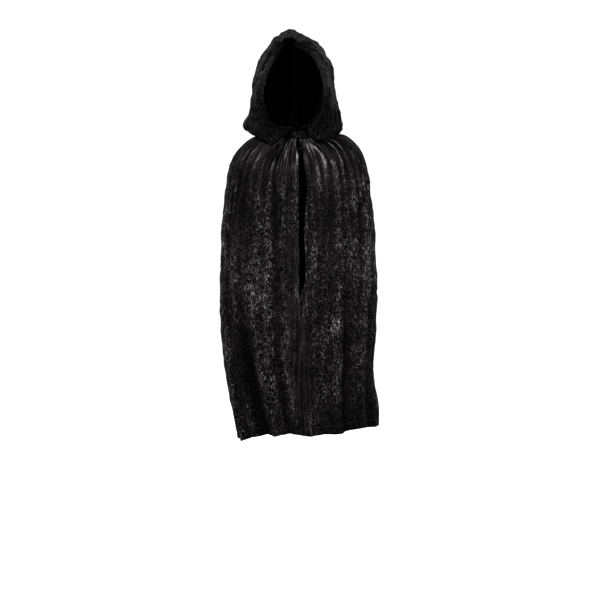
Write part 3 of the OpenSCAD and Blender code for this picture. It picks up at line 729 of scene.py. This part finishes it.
def bent_plate(name, length, thick, tall, corner, centre_angle, radius, middle_z, materials):
    """A soft plate with two rounded corners at its right-hand end, bent round the neck."""
    bpy.ops.object.select_all(action="DESELECT")
    bpy.ops.mesh.primitive_cube_add(size=1, location=(0, 0, 0))
    plate = bpy.context.object
    plate.name = plate.data.name = name
    plate.scale = (length, thick, tall)
    bpy.ops.object.transform_apply(location=False, rotation=False, scale=True)
    bpy.ops.object.mode_set(mode="EDIT")
    bpy.ops.mesh.select_mode(type="EDGE")
    bpy.ops.mesh.select_all(action="DESELECT")
    bpy.ops.object.mode_set(mode="OBJECT")
    for edge in plate.data.edges:
        one, two = (plate.data.vertices[k].co for k in edge.vertices)
        edge.select = one.x < 0 and two.x < 0 and one.z * two.z > 0 and abs(one.y - two.y) > thick / 2
    bpy.ops.object.mode_set(mode="EDIT")
    bpy.ops.mesh.bevel(offset=corner, segments=6, affect="EDGES")
    for cut in np.linspace(-0.5, 0.5, 24)[1:-1]:
        bpy.ops.mesh.select_all(action="SELECT")
        bpy.ops.mesh.bisect(plane_co=(cut * length, 0, 0), plane_no=(1, 0, 0))
    for cut in np.linspace(-0.5, 0.5, 10)[1:-1]:
        bpy.ops.mesh.select_all(action="SELECT")
        bpy.ops.mesh.bisect(plane_co=(0, 0, cut * tall), plane_no=(0, 0, 1))
    bpy.ops.object.mode_set(mode="OBJECT")
    rounding = plate.modifiers.new("rounding", "BEVEL")
    rounding.width, rounding.segments, rounding.limit_method = thick * 0.3, 3, "ANGLE"
    rounding.angle_limit = math.radians(50)
    bpy.ops.object.modifier_apply(modifier=rounding.name)
    layer = plate.data.uv_layers.new(name="cloth")
    for loop in plate.data.loops:
        spot = plate.data.vertices[loop.vertex_index].co
        layer.data[loop.index].uv = (spot.x + 11, spot.z + spot.y)
    for vertex in plate.data.vertices:
        x, y, z = vertex.co
        sunk = 0.00025 * math.exp(-((min(length / 2 - abs(x), tall / 2 - abs(z)) - 0.002) / 0.0007) ** 2)
        y = y * (1 - sunk / thick * 2)
        turn = math.radians(centre_angle) + x / radius
        vertex.co = ((radius - y) * math.sin(turn), -(radius - y) * math.cos(turn), z + middle_z)
    # Where the plate is velvet, its creases show an even, middling amount of painted sheen.
    crush_and_sheen_layer = plate.data.attributes.new("crush_and_sheen", "FLOAT", "POINT")
    crush_and_sheen_layer.data.foreach_set("value", np.full(len(plate.data.vertices), 0.3, dtype=np.float32))
    for material in materials:
        plate.data.materials.append(material)
    turn_outwards()
    bpy.ops.object.shade_smooth_by_angle(angle=math.radians(40))
    return plate


TAB_MID = 0.002
tab = bent_plate("closing_tab", 0.0304, 0.0020, 0.0130, 0.005, -2.45, 0.0656, TAB_MID, [VELVET])
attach(tab, "tab")
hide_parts("neck_tab")
anchor = bent_plate("tab_sewn_end", 0.0098, 0.0050, 0.0130, 0.0012, 15.05, 0.0640, TAB_MID, [VELVET])
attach(anchor, "cape")
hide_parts("tab_anchor")
for name, reach, low, high, z in (("tab_upper_stitches", 0.0667, -12.5, 9.5, 0.0065),
                                  ("tab_lower_stitches", 0.0667, -12.5, 9.5, -0.0025),
                                  ("tab_end_upper_stitches", 0.0667, 12, 18.5, 0.0065),
                                  ("tab_end_lower_stitches", 0.0667, 12, 18.5, -0.0025)):
    angle = np.radians(np.linspace(low, high, 60))
    out = np.stack([np.sin(angle), -np.cos(angle), 0 * angle], axis=-1)
    row = sewing(name, out * reach + [0, 0, z], out, 0.0026, 0.0019, 0.00028)
    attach(row, "tab" if high < 11 else "cape")

# Hook-and-loop tape: woven nylon backing with moulded hooks 1.2 mm apart on the tab's side, and a
# brushed pile of fine loops on the binding's side.
NYLON, tree, shader = new_material("woven_nylon_tape")
place = add_node(tree, "ShaderNodeTexCoord").outputs["Object"]
fuzz = add_node(tree, "ShaderNodeTexNoise", {"Scale": 1400.0, "Detail": 3.0}, {"Vector": place})
shade = add_node(tree, "ShaderNodeValToRGB", links={"Fac": fuzz.outputs["Fac"]})
shade.color_ramp.elements[0].position, shade.color_ramp.elements[0].color = 0.3, to_linear("#0a0a0a")
shade.color_ramp.elements[1].position, shade.color_ramp.elements[1].color = 0.8, to_linear("#2e2e2e")
tree.links.new(shade.outputs["Color"], shader.inputs["Base Color"])
bump = add_node(tree, "ShaderNodeBump", {"Strength": 0.7, "Distance": 0.0004},
                {"Height": fuzz.outputs["Fac"]})
tree.links.new(bump.outputs["Normal"], shader.inputs["Normal"])
shader.inputs["Roughness"].default_value = 0.7


def tubes(name, paths, radius, sides, material):
    """Round strands along lists of points, in one mesh."""
    points, faces = [], []
    for path in paths:
        path = np.asarray(path, dtype=float)
        ahead = np.gradient(path, axis=0)
        ahead /= np.linalg.norm(ahead, axis=1, keepdims=True)
        guide = np.array([0.31, 0.23, 0.92])
        if abs(ahead[0] @ guide) >= 0.9:
            guide = np.array([1.0, 0, 0])
        base = len(points)
        for k, (centre, forward) in enumerate(zip(path, ahead)):
            guide = guide - forward * (guide @ forward)
            guide = guide / np.linalg.norm(guide)
            across = np.cross(forward, guide)
            slim = 0.55 if k in (0, len(path) - 1) else 1.0
            for t in np.linspace(0, 2 * math.pi, sides + 1)[:-1]:
                points.append(centre + radius * slim * (math.cos(t) * guide + math.sin(t) * across))
        faces += tube_faces(base, len(path), sides)
    mesh = bpy.data.meshes.new(name)
    mesh.from_pydata([tuple(q) for q in points], [], faces)
    piece = add_piece(name, mesh, [material])
    bpy.ops.object.shade_smooth()
    return piece


PATCH_ANGLE, PATCH_LONG, PATCH_TALL, PATCH_T = -11.27, 0.0118, 0.0108, 0.0006
hook_tape = bent_plate("hook_tape", PATCH_LONG, PATCH_T, PATCH_TALL, 0.0008, PATCH_ANGLE, 0.0639, TAB_MID,
                       [NYLON])
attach(hook_tape, "tab")
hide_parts("hook_patch")
loop_tape = bent_plate("loop_tape", PATCH_LONG, PATCH_T, PATCH_TALL, 0.0008, PATCH_ANGLE, 0.0617, TAB_MID,
                       [NYLON])
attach(loop_tape, "cape")
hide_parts("loop_patch")
rng = np.random.default_rng(7)


def on_patch(across, up, radius):
    turn = math.radians(PATCH_ANGLE) + across / radius
    return np.array([radius * math.sin(turn), -radius * math.cos(turn), TAB_MID + up])


hooks = []
for across in np.arange(-0.0050, 0.0051, 0.00125):
    for up in np.arange(-0.0046, 0.0047, 0.00115):
        hooks.append([on_patch(across + dx, up, 0.0637 - drop) for dx, drop in
                      ((0, 0), (0, 0.0003), (0.0001, 0.00055), (0.00032, 0.0006), (0.0004, 0.00042))])
hook_field = tubes("hook_field", hooks, 0.00012, 5, NYLON)
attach(hook_field, "tab")
loops = []
for _ in range(420):
    across, up = rng.uniform(-0.0053, 0.0053), rng.uniform(-0.0048, 0.0048)
    turn = rng.uniform(0, math.pi)
    wide, tall = rng.uniform(0.0003, 0.0006), rng.uniform(0.0003, 0.0006)
    loops.append([on_patch(across + wide * math.cos(turn) * math.cos(t),
                           up + wide * math.sin(turn) * math.cos(t), 0.0620 + tall * math.sin(t))
                  for t in np.linspace(0, math.pi, 6)])
loop_field = tubes("loop_field", loops, 0.00006, 4, NYLON)
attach(loop_field, "cape")

# ---------------------------------------------------------------------------------------------
# Inside the hood: a black cotton twill tape 16 mm wide, sewn flat over the centre seam.

TWILL, tree, shader = new_material("cotton_twill_tape")
flat = add_node(tree, "ShaderNodeUVMap", {"uv_map": "cloth"}).outputs["UV"]
ribs = add_node(tree, "ShaderNodeTexWave", {"Scale": 130.0, "bands_direction": "DIAGONAL", "Distortion": 0.4},
                {"Vector": flat})
shade = add_node(tree, "ShaderNodeValToRGB", links={"Fac": ribs.outputs["Fac"]})
shade.color_ramp.elements[0].position, shade.color_ramp.elements[0].color = 0.2, to_linear("#0c0b0c")
shade.color_ramp.elements[1].position, shade.color_ramp.elements[1].color = 0.9, to_linear("#242224")
tree.links.new(shade.outputs["Color"], shader.inputs["Base Color"])
bump = add_node(tree, "ShaderNodeBump", {"Strength": 0.6, "Distance": 0.0004},
                {"Height": ribs.outputs["Fac"]})
tree.links.new(bump.outputs["Normal"], shader.inputs["Normal"])
shader.inputs["Roughness"].default_value = 0.8

TAPE_W = 0.016
half_cols = 1 - TAPE_W / 2 / HOOD_W * np.linspace(1, 0.08, 5)
q = np.linspace(0.97, 0.03, 150)
grids = [hood_surface(side, *np.meshgrid(half_cols[::side], q), 0.0016) for side in (1, -1)]
middle = (grids[0][:, -1:] + grids[1][:, :1]) / 2
points = np.concatenate([grids[0], middle, grids[1]], axis=1)
across, down = np.meshgrid(np.linspace(-TAPE_W / 2, TAPE_W / 2, points.shape[1]), (1 - q) * HOOD_L)
tape = cloth_piece("hood_seam_twill_tape", points, across + 13, down, 0, 0, 0.0006, [TWILL])
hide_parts("hood_seam_tape")
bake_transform(tape)

# ---------------------------------------------------------------------------------------------
# Hanging loop: a three-strand twisted rayon cord, 3 mm thick, caught into the binding at both ends.

CORD, tree, shader = new_material("twisted_rayon_cord")
place = add_node(tree, "ShaderNodeTexCoord").outputs["Object"]
fibre = add_node(tree, "ShaderNodeTexNoise", {"Scale": 1500.0, "Detail": 2.0}, {"Vector": place})
shade = add_node(tree, "ShaderNodeValToRGB", links={"Fac": fibre.outputs["Fac"]})
shade.color_ramp.elements[0].position, shade.color_ramp.elements[0].color = 0.3, to_linear("#0d0c0e")
shade.color_ramp.elements[1].position, shade.color_ramp.elements[1].color = 0.8, to_linear("#333135")
tree.links.new(shade.outputs["Color"], shader.inputs["Base Color"])
shader.inputs["Roughness"].default_value = 0.38

LOOP_HALF, LOOP_Y, LOOP_TOP, LOOP_LOW = 0.0115, 0.0549, 0.002, -0.0185
TWIST, STRAND_OUT = 0.0075, 0.00072  # length of one full twist, and the strands' distance from the middle
leg = np.linspace(LOOP_TOP, LOOP_LOW, 40)
bow = np.linspace(0, math.pi, 70)[1:-1]
spine = np.concatenate([np.stack([0 * leg - LOOP_HALF, leg], axis=-1),
                        np.stack([-LOOP_HALF * np.cos(bow), LOOP_LOW - LOOP_HALF * np.sin(bow)], axis=-1),
                        np.stack([0 * leg + LOOP_HALF, leg[::-1]], axis=-1)])
way = np.gradient(spine, axis=0)
way /= np.linalg.norm(way, axis=1, keepdims=True)
along = np.concatenate([[0], np.cumsum(np.linalg.norm(np.diff(spine, axis=0), axis=1))])
strands = []
for k in range(3):
    turn = along / TWIST * 2 * math.pi + k * 2 * math.pi / 3
    side_x, side_z = -way[:, 1] * np.cos(turn) * STRAND_OUT, way[:, 0] * np.cos(turn) * STRAND_OUT
    strands.append(np.stack([spine[:, 0] + side_x, LOOP_Y + STRAND_OUT * np.sin(turn), spine[:, 1] + side_z],
                            axis=-1))
loop = tubes("hanging_loop_cord", strands, 0.00078, 8, CORD)
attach(loop, "hanger")
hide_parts("hanger_loop")

# ---------------------------------------------------------------------------------------------
# Label: a blank strip of white polyester satin, 20 by 28 mm, caught in the neck seam by its top edge.

SATIN, tree, shader = new_material("woven_polyester_satin")
flat = add_node(tree, "ShaderNodeUVMap", {"uv_map": "cloth"}).outputs["UV"]
floats = add_node(tree, "ShaderNodeTexWave", {"Scale": 260.0, "Distortion": 1.5, "Detail": 2.0},
                  {"Vector": flat})
shade = add_node(tree, "ShaderNodeValToRGB", links={"Fac": floats.outputs["Fac"]})
shade.color_ramp.elements[0].color = to_linear("#cfccc6")
shade.color_ramp.elements[1].color = to_linear("#efede9")
tree.links.new(shade.outputs["Color"], shader.inputs["Base Color"])
bump = add_node(tree, "ShaderNodeBump", {"Strength": 0.3, "Distance": 0.0002},
                {"Height": floats.outputs["Fac"]})
tree.links.new(bump.outputs["Normal"], shader.inputs["Normal"])
shader.inputs["Roughness"].default_value = 0.42

LABEL_W, LABEL_L, LABEL_TOP, LABEL_Y = 0.020, 0.028, 0.002, 0.0562
LABEL_OFFSET, NECK_INNER_R = 0.042, 0.058
across, down = np.meshgrid(np.linspace(-0.5, 0.5, 15) * LABEL_W, np.linspace(0, 1, 24) * LABEL_L)
curl = 0.0016 * (down / LABEL_L) ** 2 * (1 - 0.6 * (across * 2 / LABEL_W) ** 2)
turn = -math.asin(LABEL_OFFSET / NECK_INNER_R)
flat_y = LABEL_Y - curl
points = np.stack([across * math.cos(turn) - flat_y * math.sin(turn),
                   across * math.sin(turn) + flat_y * math.cos(turn), LABEL_TOP - down], axis=-1)
label = cloth_piece("care_label_blank", points[:, ::-1], across[:, ::-1] + 15, down[:, ::-1], 0, 0, 0.0003,
                    [SATIN])
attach(label, "label")
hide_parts("care_label")
